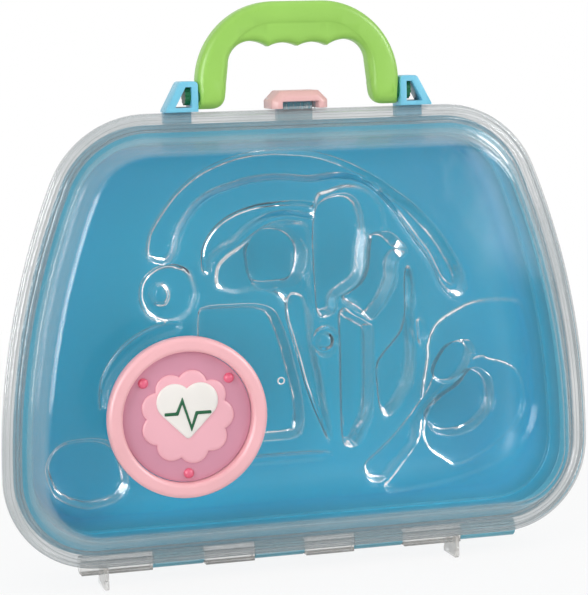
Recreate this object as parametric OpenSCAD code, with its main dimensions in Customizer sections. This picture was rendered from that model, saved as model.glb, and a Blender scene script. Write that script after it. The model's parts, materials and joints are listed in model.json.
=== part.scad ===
// Toy doctor case: a clear hinged cover and a blue back shell that stand on two fins,
// with a swinging carry handle, a lifting latch, a formed tray and a round badge.
// Every piece is drawn lying on its back: x runs across the case, y up the case from
// the table, z out of the seam towards the front face. stand() then sets it upright.

/* [Case outline] */
// Overall width across the clear rim
case_w = 290; // [270:1:310]
// Height of the rim outline, from its lower edge to its upper edge
case_h = 211; // [195:1:230]
// Radius of the two upper corners
top_corner_r = 49; // [44:1:54]
// Radius of the two lower corners
bottom_corner_r = 44; // [40:1:50]
// Rise, over a run of 12, of the ray on which a bowed side meets its upper corner
side_rise = 5; // [4.8:0.1:5.4]
// Height of the rim's lower edge above the table
rim_lift = 11; // [10:0.5:14]

/* [Clear cover] */
// Depth of the cover, from the seam to its front face
cover_depth = 21; // [18:0.5:26]
// Wall of the clear moulding
clear_t = 2; // [1.6:0.1:2.4]
// Depth of the rim's skirt behind the seam
skirt_depth = 3; // [2.5:0.1:3.2]
// Front of the rim's flange ahead of the seam
flange_front = 3; // [2.6:0.1:3.6]
// Width of the flange, from the rim's edge to the foot of the wall
flange_w = 8.8; // [8.4:0.1:10]
// Height of the bead on the flange
bead_h = 0.8; // [0.4:0.1:1.2]
// Lean of the cover's wall away from square
wall_lean = 25; // [15:1:32]
// Outer radius where the wall turns into the front face
front_edge_r = 5; // [3.5:0.5:7]

/* [Blue back shell] */
// Depth of the back shell behind the seam
shell_depth = 46; // [40:1:54]
// Wall of the blue moulding
shell_t = 2; // [1.6:0.1:2.4]
// How far the shell's lip lies inside the clear rim
lip_inset = 8.8; // [8.6:0.1:9.4]
// Width of the shell's lip, from its edge to the inner face of the wall
lip_w = 5; // [4.5:0.1:6]
// Front face of the lip, ahead of the seam
lip_front = 0.7; // [0.3:0.1:0.7]
// Depth of the ledge that carries the tray
ledge_depth = 12; // [10:0.5:16]
// Width of the ledge
ledge_w = 1.6; // [1.2:0.1:2.4]
// How much the walls draw in below the ledge
wall_draft = 1.8; // [0.8:0.1:3]
// Thickness of the flange behind the cover's skirt
seal_t = 1.6; // [1.2:0.1:2]
// Inner radius between the walls and the floor
floor_edge_r = 16; // [8:0.5:18]

/* [Hinge] */
// Outer radius of the knuckles
knuckle_r = 4.5; // [4:0.1:4.6]
// Radius of the hinge pin
pin_r = 1.6; // [1.2:0.1:2]
// Height of the hinge axis above the rim's lower edge
axis_rise = 0.5; // [0:0.1:1.5]
// Distance of the hinge axis behind the seam
axis_back = 8; // [7.9:0.1:9]
// Joints between the knuckles from left to right, clear and blue in turn
knuckle_ends = [-110, -75, -50, -25, 0, 25, 50, 80, 109];
// Gap between neighbouring knuckles
knuckle_gap = 0.4; // [0.3:0.05:0.6]
// Running clearance of every pin, on the radius
pin_clear = 0.05; // [0.02:0.01:0.08]

/* [Feet] */
// Distance of the left fin from the middle of the case
left_foot_x = 98.4; // [90:0.5:104]
// Distance of the right fin from the middle of the case
right_foot_x = 76.2; // [70:0.5:78]
// Thickness of a fin
foot_t = 2; // [1.6:0.1:3]
// How far the fins reach behind the seam
foot_back = 16; // [14:0.5:16]
// Radius of the fins' front toe
toe_r = 1.6; // [1:0.1:2.5]

/* [Handle] */
// Half of the handle's outer width
handle_half_w = 48.6; // [46:0.2:50]
// Height of the handle's top above the rim
handle_rise = 50; // [46:0.5:56]
// Thickness of the handle from front to back
handle_t = 13; // [11:0.5:14]
// Radius of the handle's outer bend
handle_bend_r = 37.5; // [32:0.5:42]
// Rounding of the handle's long edges
handle_edge_r = 3.5; // [2:0.5:5]
// Depth of the grip, from the top down to the finger dips
grip_depth = 19; // [16:0.5:22]
// Spacing of the finger dips
finger_pitch = 14.2; // [12:0.2:15]
// Radius of a finger dip
finger_r = 16; // [12:0.5:22]
// Half of the opening's width at its top
opening_half_w = 33.8; // [32:0.2:36]
// Half of the opening's width at the legs' feet
opening_foot_half_w = 37.5; // [36:0.2:39]
// Height of the handle's pivot above the rim
pivot_rise = 7.8; // [7.4:0.1:9]
// Radius of the handle's pivot pins
pivot_r = 4.5; // [3.5:0.1:4.8]
// Depth of the recessed grip panel
panel_sink = 0.5; // [0.3:0.1:0.8]

/* [Brackets] */
// Gap between the handle's leg and its bracket
bracket_gap = 0.4; // [0.3:0.1:0.8]
// Wall of a bracket's frame
bracket_t = 3; // [2.5:0.1:3.4]
// Width of a bracket at its foot
bracket_foot_w = 15.3; // [14:0.1:18]
// Width of a bracket at its top
bracket_top_w = 8.3; // [7:0.1:10]
// Height of a bracket above the rim
bracket_h = 14.3; // [13.4:0.1:17]
// Thickness of a bracket from front to back
bracket_d = 12; // [11.5:0.5:14]
// Height of the brackets' and the latch's underside above the rim
rim_gap = 0.4; // [0.3:0.05:0.6]

/* [Latch] */
// Width of the latch
latch_w = 27.2; // [25:0.2:32]
// Height of the latch's top above the rim
latch_rise = 8.7; // [8:0.1:10]
// Front face of the latch ahead of the seam
latch_front = 6; // [5:0.2:8]
// Corner cut of the latch, seen from the front
latch_cut = 4.4; // [3:0.2:5]
// Half of the width of the notch that the catch sits in
notch_half_w = 8.7; // [8.2:0.1:9.4]
// Height of the notch above the rim
notch_h = 3.7; // [3.4:0.1:4.2]
// Distance of the latch's pivot behind the seam
latch_axis_back = 7; // [6.8:0.1:7.6]
// Height of the latch's pivot above the rim
latch_axis_rise = 4; // [3.9:0.1:4.6]
// Radius of the latch's pin
latch_pin_r = 1.5; // [1:0.1:1.8]
// Radius of the shell's lug round the latch's pin
lug_r = 3; // [2.6:0.1:3]
// Gap between the latch and what it meets
latch_gap = 0.4; // [0.3:0.05:0.6]

/* [Badge] */
// Distance of the badge's middle from the case's middle, to the left
badge_x = 62.5; // [54:0.5:70]
// Height of the badge's middle above the table
badge_y = 84; // [78:0.5:100]
// Outer radius of the badge's ring
badge_r = 37.5; // [30:0.5:40]
// Radial width of the ring
ring_w = 7; // [5:0.5:9]
// Height of the ring above the cover's front face
ring_h = 5.8; // [4:0.2:8]
// Thickness of the badge's plate
plate_t = 1.5; // [1:0.1:2.5]
// Number of the rosette's petals
petals = 9; // [6:1:12]
// Radius of a bead between the rosette and the ring
bead_r = 2.4; // [1.6:0.1:3]
// Gap between a bead and the rosette or the ring
bead_gap = 1.85; // [1:0.05:2.5]
// Thickness of each raised piece of the badge
relief_t = 1; // [0.6:0.1:1.4]

/* [Tray] */
// Thickness of the formed sheet
tray_t = 1; // [0.8:0.1:1.2]
// Gap between the tray's edge and the shell
tray_gap = 0.3; // [0.2:0.1:0.5]
// Depth of the wide basin round the lower right pockets
basin_d = 3; // [2:0.5:4]
// Depth of the shallow pockets
shallow_d = 7; // [5:0.5:8]
// Depth of the curved channels for the tubes
tube_d = 10; // [8.5:0.5:12]
// Depth of the middle pockets
middle_d = 13; // [12.5:0.5:16]
// Depth of the deepest pockets
deep_d = 19; // [17:0.5:24]

/* [Hidden] */
$fn = 96;

rim_top = rim_lift + case_h;
low_c = [case_w / 2 - bottom_corner_r, rim_lift + bottom_corner_r];
side_ray = [12, side_rise];
side_rays = (rim_top - top_corner_r - low_c.y) / side_rise;
side_r = top_corner_r + side_rays * norm(side_ray);
side_c = [case_w / 2 - side_r, low_c.y];
top_c = side_c + side_rays * side_ray;
top_a = angle_of(side_ray);
badge_front = cover_depth + ring_h;
seam_y = (badge_front - shell_depth) / 2;
axis_y = rim_lift + axis_rise;
shell_in = lip_inset + lip_w;
lean = [sin(wall_lean), cos(wall_lean)];
square_to = [-cos(wall_lean), sin(wall_lean)];
cover_foot = [flange_w + 1.4, flange_front + 2];
lean_run = (cover_depth - front_edge_r + front_edge_r * sin(wall_lean) - cover_foot.y) / lean.y;
edge_c = cover_foot + lean_run * lean - front_edge_r * square_to;
handle_top = rim_top + handle_rise;
pivot_y = rim_top + pivot_rise;
cusp = sqrt(pow(finger_r, 2) - pow(finger_pitch / 2, 2));
outer_dip = finger_pitch + sqrt(pow(finger_r, 2) - pow(cusp - 1, 2));
opening_r = opening_half_w - outer_dip;
latch_axis_y = rim_top + latch_axis_rise;
bracket_in = handle_half_w + bracket_gap;
post_back = axis_back + 1.5;
post_front = skirt_depth + 0.7;
seal_inset = axis_rise + knuckle_r + 0.4;
post_top = rim_top - seal_inset + 0.2;
pin_end = 2.6;
rosette_r = badge_r - ring_w - 2 * bead_r - 2 * bead_gap;
heart_s = 0.77 * rosette_r;
pocket_scale = min(case_w / 290, case_h / 211);
tray_top = tray_t - ledge_depth;
eps = 0.01;
seat = 0.02;

function angle_of(v) = atan2(v.y, v.x);
function on_circle(c, r, a) = c + r * [cos(a), sin(a)];
function arc(c, r, from, to, steps) =
    [for (i = [0:steps]) on_circle(c, r, from + (to - from) * i / steps)];
module stand() translate([0, seam_y, 0]) rotate([90, 0, 0]) children();
module both_sides() for (side = [0, 1]) mirror([side, 0, 0]) children();
// A rod or block along x, from its lower to its higher end
module rod(r, from, to, y, z) translate([from, y, z]) rotate([0, 90, 0])
    cylinder(r = r, h = to - from);
module block(from, to) translate(from) cube(to - from);

// A wall section, drawn as [distance in from the rim's edge, z], taken round the outline
module sweep_wall() {
    reach = 1.3 * top_corner_r;
    both_sides() {
        sweep_arc(top_c, top_corner_r, top_c + 5 * side_ray, top_c + [0, reach]) children();
        sweep_arc(side_c, side_r, side_c + [1.2 * side_r, 0], top_c + 5 * side_ray) children();
        sweep_arc(low_c, bottom_corner_r, low_c - [0, reach], low_c + [reach, 0]) children();
    }
    sweep_run(rim_lift, 0, low_c.x) children();
    sweep_run(rim_top, 1, top_c.x) children();
}
// The stretch of a ring about c between its rays through p and q, which lie outside it
module sweep_arc(c, r, p, q) intersection() {
    translate(c) rotate_extrude($fn = 180) translate([r, 0]) mirror([1, 0]) children();
    translate([0, 0, -2 * shell_depth]) linear_extrude(4 * shell_depth) polygon([c, p, p + q - c, q]);
}
module sweep_run(edge, flip, half) translate([-half, edge, 0]) mirror([0, flip, 0])
    rotate([90, 0, 90]) linear_extrude(2 * half) children();

// The whole outline as points, drawn in from the rim's edge by an inset
function half_outline(inset) = concat(
    arc(top_c, top_corner_r - inset, 90, top_a, 14),
    arc(side_c, side_r - inset, top_a, 0, 16),
    arc(low_c, bottom_corner_r - inset, 0, -90, 14));
module outline(inset) {
    right = half_outline(inset);
    polygon(concat(right, [for (i = [len(right) - 1:-1:0]) [-right[i].x, right[i].y]]));
}

// Clear front cover ------------------------------------------------------------------

module cover_section() {
    inner_foot = cover_foot - clear_t * square_to;
    under = flange_front - clear_t;
    polygon(concat(
        [[0, -skirt_depth], [0, flange_front - 1.2], [1, flange_front - 0.6], [1, flange_front],
            [4.2, flange_front], [4.6, flange_front + bead_h], [7, flange_front + bead_h],
            [7.6, flange_front], [flange_w, flange_front], cover_foot],
        arc(edge_c, front_edge_r, 180 - wall_lean, 90, 5),
        [[edge_c.x + 2, cover_depth], [edge_c.x + 2, cover_depth - clear_t]],
        arc(edge_c, front_edge_r - clear_t, 90, 180 - wall_lean, 5),
        [inner_foot, [inner_foot.x - 0.8, under], [7.8, under], [7.8, -skirt_depth],
            [6.4, -skirt_depth], [6.4, under], [1.8, under], [1.8, -skirt_depth]]));
}
module front_cover() color("lightcyan", 0.35) stand() {
    difference() {
        union() {
            sweep_wall() cover_section();
            translate([0, 0, cover_depth - clear_t + seat]) linear_extrude(clear_t - 2 * seat)
            outline(edge_c.x + 1);
            for (i = [0:2:len(knuckle_ends) - 2]) clear_knuckle(knuckle_ends[i], knuckle_ends[i + 1]);
        }
        rod(pin_r + pin_clear, knuckle_ends[0] - 1, case_w / 2, axis_y, -axis_back);
    }
    catch_tab();
}
module clear_knuckle(from, to) {
    left = from + knuckle_gap / 2;
    right = to - knuckle_gap / 2;
    rod(knuckle_r, left, right, axis_y, -axis_back);
    block([left, axis_y - knuckle_r, -axis_back], [right, axis_y + knuckle_r, -skirt_depth]);
    block([left, rim_lift + 1, -skirt_depth - eps],
        [right, axis_y + knuckle_r, flange_front - clear_t / 2]);
}
// The ribbed tab on the cover's upper edge that the latch closes over
module catch_tab() {
    half = notch_half_w - latch_gap;
    back = 0.6 - skirt_depth;
    front = flange_front - 0.4;
    rib_w = half / 5;
    block([-half, rim_top - 1, back], [half, rim_top + notch_h - latch_gap, front - 0.8]);
    for (i = [-4:2:4]) block([(i - 0.6) * rib_w, rim_top - 1, front - 0.9],
        [(i + 0.6) * rib_w, rim_top + notch_h - latch_gap, front]);
}

module foot(x) stand() difference() {
    translate([x - foot_t / 2, 0, 0]) rotate([90, 0, 90]) linear_extrude(foot_t) foot_side();
    rod(knuckle_r, -case_w / 2, case_w / 2, axis_y, -axis_back);
}
// Side view of a fin, drawn as [y, z]
module foot_side() polygon(concat(
    [[rim_lift, flange_front - 1.3]],
    arc([toe_r, flange_front - 1.3 - toe_r], toe_r, 90, 180, 4),
    [[0, -foot_back], [2, -foot_back], [axis_y, -axis_back - knuckle_r + 0.5],
        [axis_y, -axis_back], [axis_y - knuckle_r, -axis_back], [axis_y - knuckle_r, -skirt_depth],
        [rim_lift, -skirt_depth]]));
module left_foot() color("lightcyan", 0.5) foot(-left_foot_x);
module right_foot() color("lightcyan", 0.5) foot(right_foot_x);

// Blue back shell --------------------------------------------------------------------

module shell_section() {
    floor_z = shell_t - shell_depth;
    wall_in = shell_in + ledge_w;
    floor_c = [wall_in + wall_draft + floor_edge_r, floor_z + floor_edge_r];
    polygon(concat(
        [[lip_inset, lip_front], [shell_in, lip_front], [shell_in, -ledge_depth],
            [wall_in, -ledge_depth]],
        arc(floor_c, floor_edge_r, 180, 270, 8),
        [[floor_c.x + 3, floor_z], [floor_c.x + 3, -shell_depth]],
        arc(floor_c, floor_edge_r + shell_t, 270, 180, 8),
        [[wall_in - shell_t, -ledge_depth - shell_t], [shell_in - shell_t, -ledge_depth - shell_t],
            [shell_in - shell_t, -post_front - seal_t], [seal_inset, -post_front - seal_t],
            [seal_inset, -post_front], [shell_in - shell_t, -post_front],
            [shell_in - shell_t, lip_front - shell_t], [lip_inset, lip_front - shell_t]]));
}
module back_shell() color("steelblue") stand() difference() {
    union() {
        sweep_wall() shell_section();
        translate([0, 0, seat - shell_depth]) linear_extrude(shell_t - 2 * seat)
            outline(shell_in + ledge_w + wall_draft + floor_edge_r + 1);
        for (i = [1:2:len(knuckle_ends) - 2]) blue_knuckle(knuckle_ends[i], knuckle_ends[i + 1]);
        both_sides() block([bracket_in, rim_top - shell_in + shell_t / 2, -post_back],
            [bracket_in + bracket_foot_w - 1, post_top, -post_front]);
        latch_lug();
    }
    rod(pin_r + pin_clear, knuckle_ends[0], case_w / 2, axis_y, -axis_back);
    rod(latch_pin_r + pin_clear, -latch_w, latch_w, latch_axis_y, -latch_axis_back);
}
module blue_knuckle(from, to) {
    left = from + knuckle_gap / 2;
    right = to - knuckle_gap / 2;
    rod(knuckle_r, left, right, axis_y, -axis_back);
    block([left, axis_y, -axis_back - 1.5],
        [right, rim_lift + shell_in - shell_t / 2, -axis_back + 1.5]);
}
module latch_lug() {
    half = notch_half_w - 0.3;
    rod(lug_r, -half, half, latch_axis_y, -latch_axis_back);
    block([-half, rim_top - shell_in + shell_t / 2, -latch_axis_back - lug_r],
        [half, latch_axis_y, -latch_axis_back + lug_r]);
}

module hinge_pin() color("silver") stand()
    rod(pin_r, knuckle_ends[0] + 0.5, knuckle_ends[len(knuckle_ends) - 1] - 0.5, axis_y, -axis_back);
module latch_pin() color("silver") stand()
    rod(latch_pin_r, 0.6 - latch_w / 2, latch_w / 2 - 0.6, latch_axis_y, -latch_axis_back);

// Handle brackets --------------------------------------------------------------------

module bracket() stand() difference() {
    foot_y = rim_top + rim_gap;
    top_y = rim_top + bracket_h;
    sill = 2;
    out = bracket_in + bracket_foot_w;
    slope = (bracket_foot_w - bracket_top_w) / (top_y - foot_y);
    union() {
        translate([0, 0, -bracket_d / 2]) linear_extrude(bracket_d)
            polygon([[bracket_in, foot_y], [bracket_in, top_y - 1.5], [bracket_in + 1.5, top_y],
                [bracket_in + bracket_top_w - 1, top_y], [bracket_in + bracket_top_w + 0.5, top_y - 1.2],
                [out, foot_y + 0.8], [out, foot_y]]);
        block([bracket_in + 1, foot_y, -post_back], [out - 1.3, foot_y + sill, 0]);
        block([bracket_in + 1, post_top, -post_back], [out - 1.3, foot_y + sill, -post_front - 0.3]);
    }
    translate([0, 0, -bracket_d]) linear_extrude(2 * bracket_d)
        polygon([[bracket_in + bracket_t, foot_y + sill], [bracket_in + bracket_t, top_y - 2.6],
            [bracket_in + bracket_top_w - bracket_t + slope, top_y - 2.6],
            [out - bracket_t - slope * sill - 0.4, foot_y + sill]]);
    rod(pivot_r + pin_clear, bracket_in - 1, bracket_in + bracket_t + pin_end + 0.3, pivot_y, 0);
}
module left_bracket() color("skyblue") mirror([1, 0, 0]) bracket();
module right_bracket() color("skyblue") bracket();

// Handle -----------------------------------------------------------------------------

// Rounded section along the handle's outer edge, as [distance in from the edge, z]
module rail_section() {
    half = handle_t / 2;
    r = handle_edge_r;
    polygon(concat(arc([r, half - r], r, 90, 180, 5), arc([r, r - half], r, 180, 270, 5),
        [[handle_bend_r / 4, -half], [handle_bend_r / 4, half]]));
}
module handle_rail() {
    reach = 1.3 * handle_bend_r;
    bend_c = [handle_half_w - handle_bend_r, handle_top - handle_bend_r];
    both_sides() {
        sweep_arc(bend_c, handle_bend_r, bend_c + [reach, 0], bend_c + [0, reach]) rail_section();
        translate([handle_half_w, pivot_y, 0]) rotate([-90, 0, 0]) linear_extrude(bend_c.y - pivot_y)
            mirror([1, 0]) rail_section();
    }
    sweep_run(handle_top, 1, bend_c.x) rail_section();
}
// Front view of the handle inside its rail, down to the pivots
module handle_web() {
    in = 6;
    bend_c = [handle_half_w - handle_bend_r, handle_top - handle_bend_r];
    both_sides() {
        intersection() {
            translate(bend_c) circle(r = handle_bend_r - in);
            translate(bend_c) square(handle_bend_r);
        }
        translate([0, pivot_y]) square([handle_half_w - in, bend_c.y - pivot_y]);
        translate([0, pivot_y]) square([bend_c.x, handle_top - in - pivot_y]);
    }
}
// The opening under the grip, with four finger dips along its upper edge
module handle_opening() {
    dip_y = handle_top - grip_depth;
    corner_y = dip_y + 1 - opening_r;
    legs_y = pivot_y - handle_t;
    both_sides() {
        translate([outer_dip, corner_y]) circle(r = opening_r);
        polygon([[-eps, legs_y], [opening_foot_half_w, legs_y], [opening_half_w, corner_y],
            [-eps, corner_y]]);
        polygon([[-eps, corner_y - 1], [outer_dip, corner_y - 1], [outer_dip, dip_y - 2],
            [-eps, dip_y - 2]]);
        dip(finger_pitch / 2, dip_y, -eps, finger_pitch);
        dip(outer_dip, dip_y + 1, finger_pitch - eps, outer_dip + 1);
    }
}
// A finger dip with its deepest point at x, top, kept between two ends
module dip(x, top, from, to) intersection() {
    translate([x, top - finger_r]) circle(r = finger_r);
    translate([from, top - 4]) square([to - from, 8]);
}
module handle_panel() {
    r = handle_bend_r - 13;
    c = [handle_half_w - 12.4 - r, handle_top - 9.6 - r];
    both_sides() {
        translate(c) circle(r = r);
        translate([0, c.y - 5]) square([c.x + r, 5]);
        translate([0, c.y - 5]) square([c.x, r + 5]);
    }
}
module handle_whole() {
    half = handle_t / 2;
    difference() {
        union() {
            handle_rail();
            translate([0, 0, -half]) linear_extrude(handle_t) handle_web();
            both_sides() rod(half, opening_foot_half_w - 3, handle_half_w, pivot_y, 0);
        }
        translate([0, 0, -handle_t]) linear_extrude(2 * handle_t) handle_opening();
        for (z = [-half - 1, half - panel_sink])
            translate([0, 0, z]) linear_extrude(1 + panel_sink) handle_panel();
        both_sides() rod(pivot_r, opening_foot_half_w + 2.5, handle_half_w + 1, pivot_y, 0);
    }
}
module handle_half(z) stand() intersection() {
    handle_whole();
    block([-case_w, 0, z], [case_w, 2 * handle_top, z + handle_t]);
}
module handle_front() color("yellowgreen") handle_half(0);
module handle_back() color("yellowgreen") handle_half(-handle_t);

// A pin held between the handle's halves, with a notched end inside the bracket
module pivot_pin() stand() {
    wall_out = bracket_in + bracket_t;
    notches = 12;
    rod(pivot_r, opening_foot_half_w + 2.6, wall_out + 0.5, pivot_y, 0);
    difference() {
        rod(pivot_r, wall_out + 0.4, wall_out + pin_end, pivot_y, 0);
        for (i = [1:notches]) translate([0, pivot_y, 0]) rotate([i * 360 / notches, 0, 0])
            rod(0.6, wall_out + 0.5, wall_out + pin_end + 1, pivot_r, 0);
    }
}
module left_pivot_pin() color("forestgreen") mirror([1, 0, 0]) pivot_pin();
module right_pivot_pin() color("forestgreen") pivot_pin();

// Latch ------------------------------------------------------------------------------

module latch() color("pink") stand() {
    half = latch_w / 2;
    low = rim_top + rim_gap;
    top = rim_top + latch_rise;
    heel_r = latch_axis_y - low;
    back = -latch_axis_back - heel_r;
    side_cut = latch_cut * 0.6;
    difference() {
        intersection() {
            translate([0, 0, back]) linear_extrude(latch_front - back) polygon([[-half, low],
                [-half, top - latch_cut], [latch_cut - half, top], [half - latch_cut, top],
                [half, top - latch_cut], [half, low]]);
            translate([-half, 0, 0]) rotate([90, 0, 90]) linear_extrude(latch_w)
                latch_side(low, top, back, heel_r, side_cut);
            translate([0, low, 0]) rotate([-90, 0, 0]) linear_extrude(top - low)
                polygon([[-half, -back], [half, -back], [half, side_cut - latch_front],
                    [half - side_cut, -latch_front], [side_cut - half, -latch_front],
                    [-half, side_cut - latch_front]]);
        }
        block([-notch_half_w, low - 1, back - 1], [notch_half_w, rim_top + notch_h, latch_front + 1]);
        block([-notch_half_w, low - 1, back - 1],
            [notch_half_w, latch_axis_y + lug_r + latch_gap, lug_r + latch_gap - latch_axis_back]);
        rod(latch_pin_r + pin_clear, -latch_w, latch_w, latch_axis_y, -latch_axis_back);
    }
}
// Side view of the latch, drawn as [y, z], with a round heel under its pivot
module latch_side(low, top, back, heel_r, side_cut) polygon(concat(
    arc([latch_axis_y, -latch_axis_back], heel_r, 270, 180, 6),
    [[low, latch_front], [top - side_cut, latch_front], [top, latch_front - side_cut],
        [top, back + 1.5], [top - 1.5, back]]));

// Badge ------------------------------------------------------------------------------

module on_badge() stand() translate([-badge_x, badge_y, cover_depth]) children();
module badge_ring() color("lightpink") on_badge() rotate_extrude() polygon(concat(
    [[badge_r - ring_w, 0], [badge_r - 0.6, 0]],
    arc([badge_r - ring_w / 3, ring_h - ring_w / 3], ring_w / 3, 0, 90, 5),
    arc([badge_r - ring_w * 0.7, ring_h - ring_w * 0.3], ring_w * 0.3, 90, 180, 4)));
module badge_plate() color("palevioletred") on_badge()
    cylinder(r = badge_r - ring_w - 0.2, h = plate_t);
module badge_rosette() color("pink") on_badge() translate([0, 0, plate_t]) {
    petal_r = rosette_r * 0.32;
    cylinder(r = rosette_r - petal_r, h = relief_t);
    for (i = [1:petals]) rotate(i * 360 / petals)
        translate([rosette_r - petal_r, 0, 0]) cylinder(r = petal_r, h = relief_t);
}
module heart(size) translate([0, -size * 0.62]) rotate(45) {
    square(size);
    translate([size / 2, size]) circle(d = size);
    translate([size, size / 2]) circle(d = size);
}
module badge_heart() color("ivory") on_badge() translate([0, 0, plate_t + relief_t])
    linear_extrude(relief_t) heart(heart_s);
// A heartbeat trace across the heart, as a band of one width
module badge_pulse() color("darkgreen") on_badge() translate([0, 0.12 * heart_s, plate_t + 2 * relief_t])
    linear_extrude(relief_t / 2) {
        trace = heart_s * [[-0.65, 0], [-0.3, 0], [-0.15, 0.36], [0.09, -0.42], [0.24, 0], [0.65, 0]];
        for (i = [0:len(trace) - 2]) band(trace[i], trace[i + 1], 0.09 * heart_s);
    }
module band(from, to, width) translate(from) rotate(angle_of(to - from)) {
    translate([0, -width / 2]) square([norm(to - from), width]);
    circle(d = width, $fn = 24);
}
module badge_beads() color("hotpink") on_badge() translate([0, 0, plate_t])
    for (a = [40, 140, 270]) rotate(a) translate([rosette_r + bead_gap + bead_r, 0, 0])
        cylinder(r = bead_r, h = 2 * relief_t);

// Formed tray ------------------------------------------------------------------------

// Plan shapes of the pockets for a case 290 wide and 211 high, with y from the rim's lower
// edge, each grown by g all round
module half_disc(r, a) rotate(a) intersection() {
    circle(r = r);
    translate([0, -r]) square([r, 2 * r]);
}
module well(c, r, g) translate(c) circle(r = r + g);
module slot(from, to, r, g) translate(from) rotate(angle_of(to - from)) {
    half_disc(r + g, 180);
    translate([0, -r - g]) square([norm(to - from), 2 * (r + g)]);
    translate([norm(to - from), 0]) half_disc(r + g, 0);
}
module bay(from, to, r, g) {
    for (x = [from.x + r, to.x - r], y = [from.y + r, to.y - r]) translate([x, y])
        intersection() {
            circle(r = r + g);
            translate([x > from.x + r ? 0 : -2 * r, y > from.y + r ? 0 : -2 * r]) square(2 * r);
        }
    translate([from.x - g, from.y + r]) square([to.x - from.x + 2 * g, to.y - from.y - 2 * r]);
    translate([from.x + r, from.y - g]) square([to.x - from.x - 2 * r, to.y - from.y + 2 * g]);
}
// A curved channel about c, its middle at radius mid_r, r to either side
module channel(c, mid_r, r, from, to, g) {
    more = g / mid_r * 180 / PI;
    translate(c) intersection() {
        difference() {
            circle(r = mid_r + r + g);
            circle(r = mid_r - r - g);
        }
        polygon(concat([[0, 0]], arc([0, 0], 2 * mid_r, from - more, to + more, 4)));
    }
}
module shallow_pockets(g) {
    well([15.5, 98.5], 5.5, g);
    slot([3, 104], [11, 58], 4.5, g);
    channel([-12, 130], 33, 4.5, 62, 186, g);
    channel([-8, 107], 68, 4, -36, 20, g);
    bay([82, 35], [119, 107], 16, g);
}
module tube_pockets(g) {
    channel([-12, 129], 57, 6.5, 80, 190, g);
    channel([-12, 89], 97, 5.5, 18, 84, g);
}
module middle_pockets(g) {
    bay([-46, 53], [-1, 119], 9, g);
    bay([11, 110], [36, 173], 11, g);
    slot([80, 89], [62, 53], 6, g);
    well([-98, 41], 17, g);
}
module deep_pockets(g) {
    well([-7.5, 140], 16, g);
    slot([49, 147], [36, 123], 10, g);
    slot([30, 113], [30, 61], 8, g);
    well([88, 73], 26, g);
}
// All pockets as solids from the tray's top down; those with no growth are cut open above
module tray_pockets(g) {
    wider = g / pocket_scale;
    sunk(basin_d, g) bay([44, 22], [124, 113], 20, wider);
    sunk(shallow_d, g) shallow_pockets(wider);
    sunk(tube_d, g) tube_pockets(wider);
    sunk(middle_d, g) middle_pockets(wider);
    sunk(deep_d, g) deep_pockets(wider);
}
module sunk(depth, g) translate([0, rim_lift, tray_top - depth - g])
    linear_extrude(depth + g + (g > 0 ? 0 : 1)) scale(pocket_scale) children();
module inner_tray() color("azure", 0.4) stand() difference() {
    union() {
        translate([0, 0, -ledge_depth]) linear_extrude(tray_t) outline(shell_in + tray_gap);
        tray_pockets(tray_t);
    }
    tray_pockets(0);
}

back_shell();
hinge_pin();
left_bracket();
right_bracket();
latch_pin();
inner_tray();
front_cover();
left_foot();
right_foot();
badge_ring();
badge_plate();
badge_rosette();
badge_heart();
badge_pulse();
badge_beads();
handle_front();
handle_back();
left_pivot_pin();
right_pivot_pin();
latch();
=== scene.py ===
import json
import math

import bmesh
import bpy
import numpy as np
from mathutils import Matrix, Vector
from mathutils.geometry import delaunay_2d_cdt


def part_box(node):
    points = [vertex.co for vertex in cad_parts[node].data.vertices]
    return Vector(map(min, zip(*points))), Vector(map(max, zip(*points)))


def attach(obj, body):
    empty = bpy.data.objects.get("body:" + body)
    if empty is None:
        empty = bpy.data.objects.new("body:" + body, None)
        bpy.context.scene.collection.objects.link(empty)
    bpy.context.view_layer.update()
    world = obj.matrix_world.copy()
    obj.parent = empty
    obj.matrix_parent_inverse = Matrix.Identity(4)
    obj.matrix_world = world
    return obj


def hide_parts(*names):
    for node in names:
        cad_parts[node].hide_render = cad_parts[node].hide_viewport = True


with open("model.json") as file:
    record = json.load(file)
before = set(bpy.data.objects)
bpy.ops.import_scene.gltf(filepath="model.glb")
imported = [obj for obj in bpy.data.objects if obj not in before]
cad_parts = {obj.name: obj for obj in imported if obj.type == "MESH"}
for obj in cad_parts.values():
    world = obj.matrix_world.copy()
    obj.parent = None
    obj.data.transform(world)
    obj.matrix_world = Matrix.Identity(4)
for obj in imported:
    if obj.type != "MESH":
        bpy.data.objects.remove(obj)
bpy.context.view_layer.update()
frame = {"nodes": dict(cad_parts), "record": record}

MM = 0.001
QUARTER = math.pi / 2

# Driving sizes, in millimetres. Pieces are drawn as the case lies on its back: x across, v up
# the case, w out of the seam towards the front face. An inset is measured in from the rim's edge.
CASE_W = 290.0
RIM_LIFT = 11.0  # the rim's lower edge above the ground
RIM_TOP = 222.0
TOP_R = 49.0
LOW_R = 44.0
SIDE_RAY = Vector((12.0, 5.0))  # from the side's centre to the top corner's

COVER_DEPTH = 21.0
CLEAR_T = 2.0
SKIRT = 3.0
FLANGE = 3.0
WALL_LEAN = math.radians(25)
WALL_FOOT = 1.4  # the leaning wall's foot, further in than the lip
EDGE_R = 5.0  # round edge of the front face
LIP_INSET = 8.8

SHELL_DEPTH = 46.0
SHELL_T = 2.0
LIP_FRONT = 0.7
SHELL_IN = 13.8
LEDGE = 12.0
SEAL_INSET = 5.4
SEAL_W = -3.7
POST_LOW = RIM_TOP - 12.8  # foot of the posts that carry the brackets and the latch

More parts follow.
